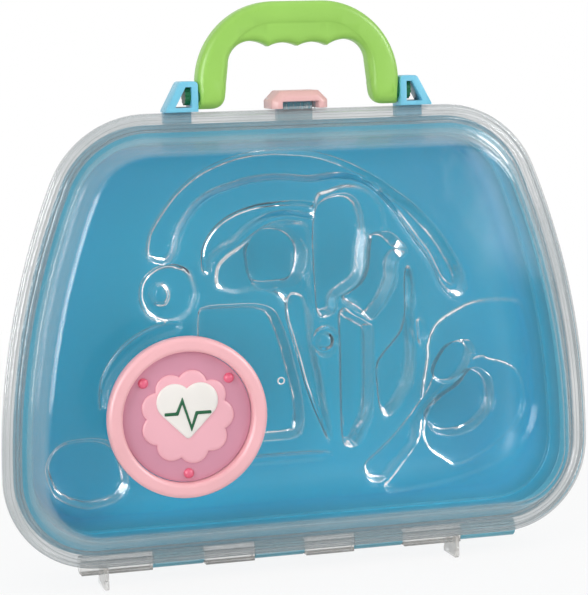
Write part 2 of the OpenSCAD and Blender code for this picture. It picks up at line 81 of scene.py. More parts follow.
KNUCKLE_R = 4.5
KNUCKLE_ENDS = (-110, -75, -50, -25, 0, 25, 50, 80, 109)
AXIS_V = RIM_LIFT + 0.5
AXIS_W = -8.0
LATCH_AXIS_V = RIM_TOP + 4
LATCH_AXIS_W = -7.0
NOTCH_HALF = 8.7
TAB_RISE = 3.3

BRACKET_IN = 49.0
BRACKET_W = 15.3
RIM_GAP = 0.4
GATE_C = Vector((-17, 97.5))
BADGE_C = Vector((-62.5, 84.0))
BADGE_R = 37.5
BADGE_RING_W = 7.0

SEAM_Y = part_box("front_cover")[0].y / MM + COVER_DEPTH
LOW_C = Vector((CASE_W / 2 - LOW_R, RIM_LIFT + LOW_R))
SIDE_RAYS = (RIM_TOP - TOP_R - LOW_C.y) / SIDE_RAY.y
SIDE_R = TOP_R + SIDE_RAYS * SIDE_RAY.length
SIDE_C = Vector((CASE_W / 2 - SIDE_R, LOW_C.y))
TOP_C = SIDE_C + SIDE_RAYS * SIDE_RAY
SIDE_A = math.atan2(SIDE_RAY.y, SIDE_RAY.x)


def place(x, v, w):
    """The point of the standing case, in metres"""
    return Vector((x * MM, SEAM_Y * MM - w * MM, v * MM))


# Materials --------------------

def new_material(name):
    m = bpy.data.materials.new(name)
    m.use_nodes = True
    nodes = m.node_tree.nodes
    nodes.clear()
    out = nodes.new("ShaderNodeOutputMaterial")
    return m, nodes, m.node_tree.links, out


def noise(nodes, links, scale, detail=3.0):
    where = nodes.new("ShaderNodeTexCoord")
    n = nodes.new("ShaderNodeTexNoise")
    n.inputs["Scale"].default_value = scale
    n.inputs["Detail"].default_value = detail
    links.new(where.outputs["Object"], n.inputs["Vector"])
    return n.outputs["Fac"]


def ramp(nodes, links, source, low, high, from_low=0.3, from_high=0.7):
    r = nodes.new("ShaderNodeMapRange")
    r.inputs["From Min"].default_value = from_low
    r.inputs["From Max"].default_value = from_high
    r.inputs["To Min"].default_value = low
    r.inputs["To Max"].default_value = high
    links.new(source, r.inputs["Value"])
    return r.outputs["Result"]


def colour_mix(nodes, links, factor, a, b):
    """A mix of two colours; each is a tuple or an output"""
    mix = nodes.new("ShaderNodeMix")
    mix.data_type = "RGBA"
    links.new(factor, mix.inputs["Factor"])
    for colour, socket in ((a, mix.inputs["A"]), (b, mix.inputs["B"])):
        if isinstance(colour, bpy.types.NodeSocket):
            links.new(colour, socket)
        else:
            socket.default_value = (*colour, 1.0)
    return mix.outputs["Result"]


def math_node(nodes, links, operation, *values, clamp=False):
    """The output of a math node; each value is a number or an output"""
    node = nodes.new("ShaderNodeMath")
    node.operation = operation
    node.use_clamp = clamp
    for i, value in enumerate(values):
        if isinstance(value, bpy.types.NodeSocket):
            links.new(value, node.inputs[i])
        else:
            node.inputs[i].default_value = value
    return node.outputs[0]


def mix_shader(nodes, links, share, a, b):
    mix = nodes.new("ShaderNodeMixShader")
    links.new(share, mix.inputs[0])
    links.new(a, mix.inputs[1])
    links.new(b, mix.inputs[2])
    return mix.outputs[0]


def bump(nodes, links, shader, height, strength):
    b = nodes.new("ShaderNodeBump")
    b.inputs["Strength"].default_value = strength
    b.inputs["Distance"].default_value = 0.002
    links.new(height, b.inputs["Height"])
    links.new(b.outputs["Normal"], shader.inputs["Normal"])


def moulded(name, colour, rough=0.3, specular=0.3, deep=None):
    """Opaque moulded plastic: flow marks in the colour, a fine uneven gloss and a faint ripple.
    deep is painted light: the colour it turns to far behind the seam, a painted glow that stands in for
    light through the wall"""
    flow_marks, grain, painted_glow_w = 0.06, 0.04, -26
    m, nodes, links, out = new_material(name)
    shader = nodes.new("ShaderNodeBsdfPrincipled")
    links.new(shader.outputs[0], out.inputs["Surface"])
    dark = [c * (1 - flow_marks) for c in colour]
    light = [min(1.0, c * (1 + flow_marks)) for c in colour]
    flow = ramp(nodes, links, noise(nodes, links, 26.0, 2.0), 0.0, 1.0)
    shade = colour_mix(nodes, links, flow, dark, light)
    # Painted light: far behind the seam the colour blends towards deep, a painted glow for light through
    # the wall
    if deep:
        where = nodes.new("ShaderNodeTexCoord")
        apart = nodes.new("ShaderNodeSeparateXYZ")
        links.new(where.outputs["Object"], apart.inputs[0])
        painted_glow_share = ramp(nodes, links, apart.outputs["Y"], 0.0, 1.0,
                      place(0, 0, 0).y, place(0, 0, painted_glow_w).y)
        shade = colour_mix(nodes, links, painted_glow_share, shade, deep)
    links.new(shade, shader.inputs["Base Color"])
    links.new(ramp(nodes, links, noise(nodes, links, 900.0), rough - 0.05, rough + 0.07),
              shader.inputs["Roughness"])
    bump(nodes, links, shader, noise(nodes, links, 60.0, 2.0), grain)
    shader.inputs["Specular IOR Level"].default_value = specular
    return m


def hazy_body(nodes, links, colour, cloud):
    """The matt body that clear plastic shows where it is seen edge-on"""
    body = nodes.new("ShaderNodeBsdfPrincipled")
    body.inputs["Roughness"].default_value = 0.45
    body.inputs["Specular IOR Level"].default_value = 0.1
    dark = [c * 0.8 for c in colour]
    light = [min(1.0, c * 1.15) for c in colour]
    links.new(colour_mix(nodes, links, cloud, dark, light), body.inputs["Base Color"])
    return body.outputs[0]


def body_share(nodes, links, cloud, haze, edge, power):
    """How much the body covers: the haze where it faces the eye, rising to edge at the sides"""
    weight = nodes.new("ShaderNodeLayerWeight")
    weight.inputs["Blend"].default_value = 0.5
    rise = nodes.new("ShaderNodeMapRange")
    rise.inputs["To Max"].default_value = edge
    links.new(math_node(nodes, links, "POWER", weight.outputs["Facing"], power), rise.inputs["Value"])
    links.new(ramp(nodes, links, cloud, haze * 0.7, haze * 1.3), rise.inputs["To Min"])
    return rise.outputs["Result"]


def clear(name, colour, haze, edge, rough=0.05, ripple=0.05, scale=40.0, power=1.6, ior=1.25,
          inside=True):
    """Clear plastic: open where it faces the eye, a pale body where it is seen edge-on, and a full
    gloss. Without inside, only the outer face of the wall is glossy, so no light is trapped in it"""
    m, nodes, links, out = new_material(name)
    cloud = noise(nodes, links, 18.0)
    body = hazy_body(nodes, links, colour, cloud)
    open_part = nodes.new("ShaderNodeBsdfTransparent")
    share = body_share(nodes, links, cloud, haze, edge, power)
    inner = mix_shader(nodes, links, share, open_part.outputs[0], body)

    gloss = nodes.new("ShaderNodeBsdfGlossy")
    gloss.inputs["Color"].default_value = (1, 1, 1, 1)
    links.new(ramp(nodes, links, cloud, rough, rough * 2.2), gloss.inputs["Roughness"])
    fresnel = nodes.new("ShaderNodeFresnel")
    fresnel.inputs["IOR"].default_value = ior
    wave = noise(nodes, links, scale, 2.0)
    for shader in (gloss, fresnel):
        bump(nodes, links, shader, wave, ripple)
    mirrored = fresnel.outputs[0]
    if not inside:
        face = nodes.new("ShaderNodeNewGeometry")
        mirrored = math_node(nodes, links, "SUBTRACT", mirrored, face.outputs["Backfacing"], clamp=True)
    outer = mix_shader(nodes, links, mirrored, inner, gloss.outputs[0])

    # Lamp light passes, so that what lies behind is lit as through a real thin wall
    through = nodes.new("ShaderNodeBsdfTransparent")
    through.inputs["Color"].default_value = (0.97, 0.975, 0.98, 1.0)
    ray = nodes.new("ShaderNodeLightPath")
    soft = math_node(nodes, links, "MAXIMUM", ray.outputs["Is Shadow Ray"], ray.outputs["Is Diffuse Ray"])
    links.new(mix_shader(nodes, links, soft, outer, through.outputs[0]), out.inputs["Surface"])
    return m


def brushed_steel():
    m, nodes, links, out = new_material("steel_wire")
    shader = nodes.new("ShaderNodeBsdfPrincipled")
    links.new(shader.outputs[0], out.inputs["Surface"])
    shader.inputs["Metallic"].default_value = 1.0
    streak = noise(nodes, links, 300.0, 4.0)
    links.new(ramp(nodes, links, streak, 0.22, 0.42), shader.inputs["Roughness"])
    links.new(colour_mix(nodes, links, streak, (0.5, 0.5, 0.5), (0.66, 0.66, 0.67)),
              shader.inputs["Base Color"])
    return m


MATERIALS = {
    "clear_cover": clear("clear_cover", (0.47, 0.55, 0.57), 0.003, 0.62, power=1.8, ior=1.27,
                         inside=False),
    "clear_tray": clear("clear_tray", (0.36, 0.70, 0.84), 0.006, 0.55, rough=0.07, ripple=0.12,
                        scale=90.0, power=1.5, ior=1.18),
    # blue_shell's deep colour is painted light: a brighter, bluer glow painted into the shell far behind
    # the seam
    "blue_shell": moulded("blue_shell", (0.03, 0.29, 0.42), 0.36, deep=(0.004, 0.55, 0.83)),
    "pale_blue": moulded("pale_blue", (0.17, 0.53, 0.71), 0.3),
    "steel": brushed_steel(),
    "green_handle": moulded("green_handle", (0.31, 0.59, 0.11), 0.32, specular=0.2),
    # dark_green is painted shade: the handle's pivot pins are the handle's own green, painted near black
    # for the shadow inside the brackets
    "dark_green": moulded("dark_green", (0.01, 0.16, 0.06), 0.35),
    "pink_latch": moulded("pink_latch", (0.76, 0.45, 0.44), 0.36),
    "pink_ring": moulded("pink_ring", (0.86, 0.46, 0.49), 0.34),
    "rose_plate": moulded("rose_plate", (0.60, 0.27, 0.36), 0.45),
    "pale_pink": moulded("pale_pink", (0.82, 0.43, 0.49), 0.4),
    "white_print": moulded("white_print", (0.80, 0.77, 0.73), 0.4),
    "green_print": moulded("green_print", (0.008, 0.10, 0.04), 0.4),
    "deep_pink": moulded("deep_pink", (0.74, 0.13, 0.22), 0.35),
}
# Thicker or rougher parts of the clear cover, and the thin blue fittings of the shell
RIM_CLEAR = clear("clear_rim", (0.28, 0.32, 0.33), 0.34, 0.9, power=1.2, ior=1.42)
GATE_CLEAR = clear("clear_gate", (0.75, 0.78, 0.78), 0.7, 0.9, ior=1.4)
KNUCKLE_CLEAR = clear("clear_knuckle", (0.78, 0.74, 0.68), 0.14, 0.4, ior=1.36)
FIN_CLEAR = clear("clear_fin", (0.50, 0.475, 0.44), 0.4, 0.85, ior=1.4)
THIN_BLUE = clear("thin_blue", (0.12, 0.42, 0.52), 0.55, 0.9, ior=1.4)


# Mesh helpers --------------------

def add_object(name, data):
    obj = bpy.data.objects.new(name, data)
    bpy.context.scene.collection.objects.link(obj)
    return obj


def as_mesh(bm, name="scratch"):
    mesh = bpy.data.meshes.new(name)
    bm.to_mesh(mesh)
    bm.free()
    return mesh


def finish_piece(name, bm, body, slot, nodes=(), smooth=32.0, material=None):
    """Turns a bmesh into a piece that rides on its body, shaded smooth up to an angle"""
    bmesh.ops.remove_doubles(bm, verts=bm.verts, dist=1e-7)
    bmesh.ops.recalc_face_normals(bm, faces=bm.faces)
    mesh = as_mesh(bm, name)
    mesh.shade_smooth()
    mesh.set_sharp_from_angle(angle=math.radians(smooth))
    mesh.materials.append(material or MATERIALS[slot])
    piece = add_object(name, mesh)
    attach(piece, body)
    if nodes:
        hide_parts(*nodes)


def arc(c, r, start, end, steps):
    angles = [start + (end - start) * i / steps for i in range(steps + 1)]
    return [c + r * Vector((math.cos(a), math.sin(a))) for a in angles]


def fillet(points, radius, steps=3, closed=True):
    """The same line with each corner rounded"""
    out = []
    count = len(points)
    for i, p in enumerate(points):
        if not closed and i in (0, count - 1):
            out.append(p)
            continue
        a, b = points[i - 1] - p, points[(i + 1) % count] - p
        reach = min(radius, 0.45 * a.length, 0.45 * b.length)
        start, end = p + a.normalized() * reach, p + b.normalized() * reach
        for k in range(steps + 1):
            t = k / steps
            out.append((1 - t) ** 2 * start + 2 * t * (1 - t) * p + t * t * end)
    return out


def rim_stations():
    """Points round the rim's edge with the direction inward, clockwise from the top's middle"""
    half = [(Vector((0, RIM_TOP)), Vector((0, -1)))]
    top_corner = arc(TOP_C, TOP_R, QUARTER, SIDE_A, 18)
    side = arc(SIDE_C, SIDE_R, SIDE_A, 0, 20)[1:]
    low_corner = arc(LOW_C, LOW_R, 0, -QUARTER, 22)[1:]
    for c, points in ((TOP_C, top_corner), (SIDE_C, side), (LOW_C, low_corner)):
        half += [(p, (c - p).normalized()) for p in points]
    half.append((Vector((0, RIM_LIFT)), Vector((0, 1))))
    other = [(Vector((-p.x, p.y)), Vector((-n.x, n.y))) for p, n in reversed(half[1:-1])]
    return half + other


STATIONS = rim_stations()


def bridge(bm, rings):
    """Faces between each ring and the next one, all of them closed loops of one length"""
    for one, two in zip(rings, rings[1:]):
        for i in range(len(one)):
            k = (i + 1) % len(one)
            bm.faces.new((one[i], one[k], two[k], two[i]))


def swept(bm, section, cap=None):
    """A section of (inset, w) points taken round the rim; cap is its end that is filled across"""
    rings = [[bm.verts.new(place(*(p + n * s.x), s.y)) for p, n in STATIONS] for s in section]
    bridge(bm, rings)
    if cap is not None:
        bm.faces.new(rings[cap])


def rod(bm, r, start, end, v, w):
    """A round bar along x with slightly rounded ends"""
    sides, soft = 32, 0.3
    angles = [2 * math.pi * i / sides for i in range(sides)]
    profile = [(start, r - soft), (start + soft, r), (end - soft, r), (end, r - soft)]
    rings = [[bm.verts.new(place(x, v + q * math.sin(a), w + q * math.cos(a))) for a in angles]
             for x, q in profile]
    bridge(bm, rings)
    bm.faces.new(rings[0])
    bm.faces.new(rings[-1])


def turned(bm, section, centre, steps=144, closed=False):
    """A section of (radius, height) points turned about a line square to the front face"""
    angles = [2 * math.pi * i / steps for i in range(steps)]
    rings = [[bm.verts.new(place(centre.x + r * math.cos(a), centre.y + r * math.sin(a), COVER_DEPTH + h))
              for a in angles] for r, h in section]
    if closed:
        bridge(bm, rings + rings[:1])
        return
    bridge(bm, rings)
    for (r, _), ring in ((section[0], rings[0]), (section[-1], rings[-1])):
        if r > 0.01:
            bm.faces.new(ring)


def across(x, v, w):
    return place(x, v, w)


def sideways(v, w, x):
    return place(x, v, w)


def raw_prism(outline, low, high):
    """An outline drawn out from low to high, in millimetres"""
    made = bmesh.new()
    made.faces.new([made.verts.new((p[0], p[1], low)) for p in outline])
    solid = bmesh.ops.extrude_face_region(made, geom=made.faces[:])
    for v in solid["geom"]:
        if isinstance(v, bmesh.types.BMVert):
            v.co.z = high
    return made


def put(bm, to_point=across):
    for v in bm.verts:
        v.co = to_point(*v.co)
    return bm


def prism(bm, outline, low, high, to_point, bevel):
    """A prism with its sharp edges rounded, added to the bmesh"""
    made = raw_prism(outline, low, high)
    round_off(made, bevel)
    pour(put(made, to_point), bm)


def rectangle(low, high):
    return [(low[0], low[1]), (high[0], low[1]), (high[0], high[1]), (low[0], high[1])]


def block(bm, low, high, bevel=0.3):
    prism(bm, rectangle(low, high), low[2], high[2], across, bevel)


def round_off(bm, bevel):
    bmesh.ops.recalc_face_normals(bm, faces=bm.faces)
    sharp = [e for e in bm.edges if len(e.link_faces) == 2 and e.calc_face_angle() > 0.5]
    bmesh.ops.bevel(bm, geom=sharp, offset=bevel, segments=2, profile=0.5, affect="EDGES",
                    clamp_overlap=True)


def pour(source, target):
    """Adds one bmesh to another and frees it"""
    scratch = as_mesh(source)
    target.from_mesh(scratch)
    bpy.data.meshes.remove(scratch)


def as_object(bm):
    bmesh.ops.recalc_face_normals(bm, faces=bm.faces)
    return add_object("scratch", as_mesh(bm))


def cut(bm, *tools):
    """The bmesh less each tool, by an exact boolean"""
    solid, cutters = as_object(bm), [as_object(tool) for tool in tools]
    for cutter in cutters:
        step = solid.modifiers.new("cut", "BOOLEAN")
        step.solver, step.operation, step.object = "EXACT", "DIFFERENCE", cutter
    shown = solid.evaluated_get(bpy.context.evaluated_depsgraph_get())
    out = bmesh.new()
    out.from_mesh(shown.to_mesh())
    for obj in (solid, *cutters):
        mesh = obj.data
        bpy.data.objects.remove(obj)
        bpy.data.meshes.remove(mesh)
    bmesh.ops.dissolve_limit(out, angle_limit=0.01, verts=out.verts, edges=out.edges)
    return out


# Relief sheets --------------------

def smooth_loop(points, step):
    """A closed curve through the points, sampled about every step"""
    pts = [Vector(p) for p in points]
    out = []
    for i in range(len(pts)):
        a, b, c, d = pts[i - 1], pts[i], pts[(i + 1) % len(pts)], pts[(i + 2) % len(pts)]
        n = max(2, round((c - b).length / step))
        for k in range(n):
            t = k / n
            out.append(0.5 * (2 * b + (c - a) * t + (2 * a - 5 * b + 4 * c - d) * t * t
                              + (3 * b - a - 3 * c + d) * t ** 3))
    return out


def area(loop):
    return 0.5 * sum(a.x * b.y - b.x * a.y for a, b in zip(loop, loop[1:] + loop[:1]))


def inward(loop, d):
    """The loop moved inward by d along its own normals"""
    flip = 1 if area(loop) > 0 else -1
    out = []
    for i, p in enumerate(loop):
        t = loop[(i + 1) % len(loop)] - loop[i - 1]
        n = Vector((-t.y, t.x)).normalized() * flip
        out.append(p + n * d)
    return out


def depth_inside(points, loop):
    """Distance of each point from the loop's edge, above 0 inside it"""
    out = np.empty(len(points))
    a = np.array(loop)
    b = np.array(loop[1:] + loop[:1])
    ab = b - a
    length = np.maximum((ab ** 2).sum(1), 1e-12)
    rise = np.where(ab[:, 1] == 0, 1e-12, ab[:, 1])
    batch = 2000
    for at in range(0, len(points), batch):
        p = points[at:at + batch, None, :]
        t = np.clip(((p - a) * ab).sum(2) / length, 0, 1)
        near = np.sqrt((((a + t[..., None] * ab) - p) ** 2).sum(2)).min(1)
        crosses = (a[:, 1] > p[..., 1]) != (b[:, 1] > p[..., 1])
        left = p[..., 0] < a[:, 0] + (p[..., 1] - a[:, 1]) / rise * ab[:, 0]
        inside = (crosses & left).sum(1) % 2 == 1
        out[at:at + batch] = np.where(inside, near, -near)
    return out


def grid_points(loop, step, offset):
    """A square grid over the box round the loop"""
    low = [min(p[k] for p in loop) for k in (0, 1)]
    high = [max(p[k] for p in loop) for k in (0, 1)]
    return [Vector((low[0] + (i + offset) * step, low[1] + (j + offset) * step))
            for i in range(int((high[0] - low[0]) / step))
            for j in range(int((high[1] - low[1]) / step))]


def sheet(bm, edge, lines, loose, height, to_point=across):
    """A triangulated sheet inside its edge, creased along each line, at height(points)"""
    points, edges = [], []
    for loop in [edge, *lines]:
        start = len(points)
        points += [Vector(p) for p in loop]
        edges += [(start + i, start + (i + 1) % len(loop)) for i in range(len(loop))]
    made = delaunay_2d_cdt(points + loose, edges, [], 0, 1e-4)
    flat = np.array([(p.x, p.y) for p in made[0]])
    tris = np.array([t for t in made[2] if len(t) == 3])
    keep = tris[depth_inside(flat[tris].mean(1), edge) > 0]
    w = height(flat)
    verts = {i: bm.verts.new(to_point(flat[i][0], flat[i][1], w[i])) for i in np.unique(keep)}
    for t in keep:
        bm.faces.new([verts[i] for i in t])


def step_up(t):
    t = np.clip(t, 0, 1)
    return t * t * (3 - 2 * t)


# Clear cover --------------------

def cover_rim():
    """The flange and its two skirts, from the foot of the wall out to the rim's edge and back.
    Two steps and a groove run round its front, as in the photograph"""
    under, step, ridge = FLANGE - CLEAR_T, FLANGE + 0.4, FLANGE + 0.8
    inner_skirt = 6.4
    front = [(LIP_INSET, FLANGE), (7.6, FLANGE), (7, ridge), (6.2, ridge), (5.8, FLANGE + 0.35),
             (5.3, ridge), (4.6, ridge), (4.2, FLANGE), (3.1, FLANGE), (2.7, step), (2.2, step),
             (1.9, FLANGE), (1, FLANGE), (1, 2.4), (0.5, 2.1), (0.5, 0.2), (0, 0)]
    back = [(0, -SKIRT), (1.8, -SKIRT), (1.8, under), (inner_skirt, under), (inner_skirt, -SKIRT),
            (7.8, -SKIRT), (7.8, under), (LIP_INSET, under)]
    bm = bmesh.new()
    swept(bm, fillet([Vector(p) for p in front + back], 0.25, closed=False))
    finish_piece("cover_rim", bm, "cover", "clear_cover", material=RIM_CLEAR)


def cover_face():
    """The leaning wall and the front face: an outer skin and an inner skin that the rim joins"""
    lean = Vector((math.sin(WALL_LEAN), math.cos(WALL_LEAN)))
    square_to = Vector((-math.cos(WALL_LEAN), math.sin(WALL_LEAN)))
    foot = Vector((LIP_INSET + WALL_FOOT, FLANGE + 2))
    run = (COVER_DEPTH - EDGE_R + EDGE_R * math.sin(WALL_LEAN) - foot.y) / lean.y
    edge_c = foot + run * lean - EDGE_R * square_to
    inner_foot = foot - CLEAR_T * square_to
    under = FLANGE - CLEAR_T
    up, out = QUARTER, math.pi - WALL_LEAN
    middle = edge_c.x + 12
    wall = fillet([edge_c + EDGE_R * square_to, foot, Vector((LIP_INSET, FLANGE))], 1.0, closed=False)
    bm = bmesh.new()
    swept(bm, [Vector((middle, COVER_DEPTH))] + arc(edge_c, EDGE_R, up, out, 10) + wall[1:], cap=0)
    swept(bm, [Vector((LIP_INSET, under)), Vector((inner_foot.x - 0.8, under)), inner_foot]
          + arc(edge_c, EDGE_R - CLEAR_T, out, up, 8) + [Vector((middle, COVER_DEPTH - CLEAR_T))],
          cap=-1)
    finish_piece("cover_face", bm, "cover", "clear_cover", ["front_cover"])


def gate_mark():
    """The small ring that the moulding's gate leaves on the front face"""
    section = [(1.15, -0.1), (1.2, 0.25), (1.5, 0.4), (1.8, 0.25), (1.85, -0.1)]
    bm = bmesh.new()
    turned(bm, section, GATE_C, 28, closed=True)
    finish_piece("cover_gate", bm, "cover", "clear_cover", material=GATE_CLEAR)


def cover_knuckles():
    """The clear knuckles, each with the web that joins it to the rim's skirt"""
    reach = KNUCKLE_R - 0.1
    bm = bmesh.new()
    for start, end in zip(KNUCKLE_ENDS[0::2], KNUCKLE_ENDS[1::2]):
        rod(bm, KNUCKLE_R, start + 0.2, end - 0.2, AXIS_V, AXIS_W)
        block(bm, (start + 0.4, AXIS_V - reach, AXIS_W), (end - 0.4, AXIS_V + reach, -SKIRT))
    finish_piece("cover_knuckles", bm, "cover", "clear_cover", material=KNUCKLE_CLEAR)


def catch_tab():
    """The tab that the latch closes over, with its five ribs"""
    half, foot, top, front = NOTCH_HALF - 0.4, RIM_TOP - 1, RIM_TOP + TAB_RISE, 1.8
    pitch, rib_half = 2 * half / 5, 0.6 * half / 5
    bm = bmesh.new()
    block(bm, (-half, foot, -2.4), (half, top, front), 0.25)
    for i in (-2, -1, 0, 1, 2):
        block(bm, (i * pitch - rib_half, foot, front - 0.2), (i * pitch + rib_half, top, front + 0.8), 0.2)
    finish_piece("cover_catch", bm, "cover", "clear_cover")


def fin(name, x):
    """A thin upright fin that stands on the ground and steps round the knuckles' block"""
    half_t, front, back = 1.0, 1.7, -16
    side = [(RIM_LIFT, front), (1.6, front), (0.5, front - 0.4), (0, 0.1), (0, back), (2, back),
            (AXIS_V - 0.5, AXIS_W - 4), (AXIS_V - KNUCKLE_R, AXIS_W - 2),
            (AXIS_V - KNUCKLE_R, -SKIRT), (RIM_LIFT, -SKIRT)]
    bm = bmesh.new()
    prism(bm, side, x - half_t, x + half_t, sideways, 0.35)
    finish_piece(name + "_skin", bm, "cover", "clear_cover", [name], material=FIN_CLEAR)


# Blue shell --------------------

def blue_shell():
    """The deep shell: a lip, a ledge for the tray, a drafted wall and a large round floor edge"""
    floor_w = SHELL_T - SHELL_DEPTH
    wall_in, draft, floor_r = SHELL_IN + 1.6, 1.8, 16.0
    wall_out, lip_back = SHELL_IN - SHELL_T, LIP_FRONT - SHELL_T
    ledge_back, seal_back = -LEDGE - SHELL_T, SEAL_W - 1.6
    c = Vector((wall_in + draft + floor_r, floor_w + floor_r))
    foot_in, middle = c.x - floor_r, c.x + 6
    inside = [(LIP_INSET, LIP_FRONT), (SHELL_IN, LIP_FRONT), (SHELL_IN, -LEDGE), (wall_in, -LEDGE),
              (foot_in, c.y)]
    outside = [(LIP_INSET, LIP_FRONT), (LIP_INSET, lip_back), (wall_out, lip_back), (wall_out, SEAL_W),
               (SEAL_INSET, SEAL_W), (SEAL_INSET, seal_back), (wall_out, seal_back),
               (wall_out, ledge_back), (wall_in - SHELL_T, ledge_back), (foot_in - SHELL_T, c.y)]
    inside, outside = (fillet([Vector(p) for p in line], 0.5, closed=False) for line in (inside, outside))
    down = 3 * QUARTER
    floor_in = arc(c, floor_r, down, math.pi, 12)[:-1]
    floor_out = arc(c, floor_r + SHELL_T, math.pi, down, 12)[1:]
    bm = bmesh.new()
    swept(bm, [Vector((middle, floor_w))] + floor_in + inside[::-1], cap=0)
    swept(bm, outside + floor_out + [Vector((middle, -SHELL_DEPTH))], cap=-1)
    finish_piece("shell_moulding", bm, "back_case", "blue_shell", ["back_shell"])


def shell_fittings():
    """The blue knuckles with their webs, the brackets' posts and the latch's post with its lug"""
    post_half = NOTCH_HALF - 0.3
    bm = bmesh.new()
    for start, end in zip(KNUCKLE_ENDS[1::2], KNUCKLE_ENDS[2::2]):
        rod(bm, KNUCKLE_R, start + 0.2, end - 0.2, AXIS_V, AXIS_W)
        block(bm, (start + 0.4, AXIS_V, AXIS_W - 1.5), (end - 0.4, RIM_LIFT + SHELL_IN - 1, AXIS_W + 1.5))
    for side in (-1, 1):
        near, far = sorted((side * BRACKET_IN, side * (BRACKET_IN + 14.3)))
        block(bm, (near, POST_LOW, -9.5), (far, RIM_TOP - SEAL_INSET + 0.1, SEAL_W - 0.3))
    rod(bm, 3.0, -post_half, post_half, LATCH_AXIS_V, LATCH_AXIS_W)
    block(bm, (-post_half, POST_LOW, LATCH_AXIS_W - 3), (post_half, LATCH_AXIS_V, LATCH_AXIS_W + 3))
    finish_piece("shell_fittings", bm, "back_case", "blue_shell", material=THIN_BLUE)


# Formed tray --------------------

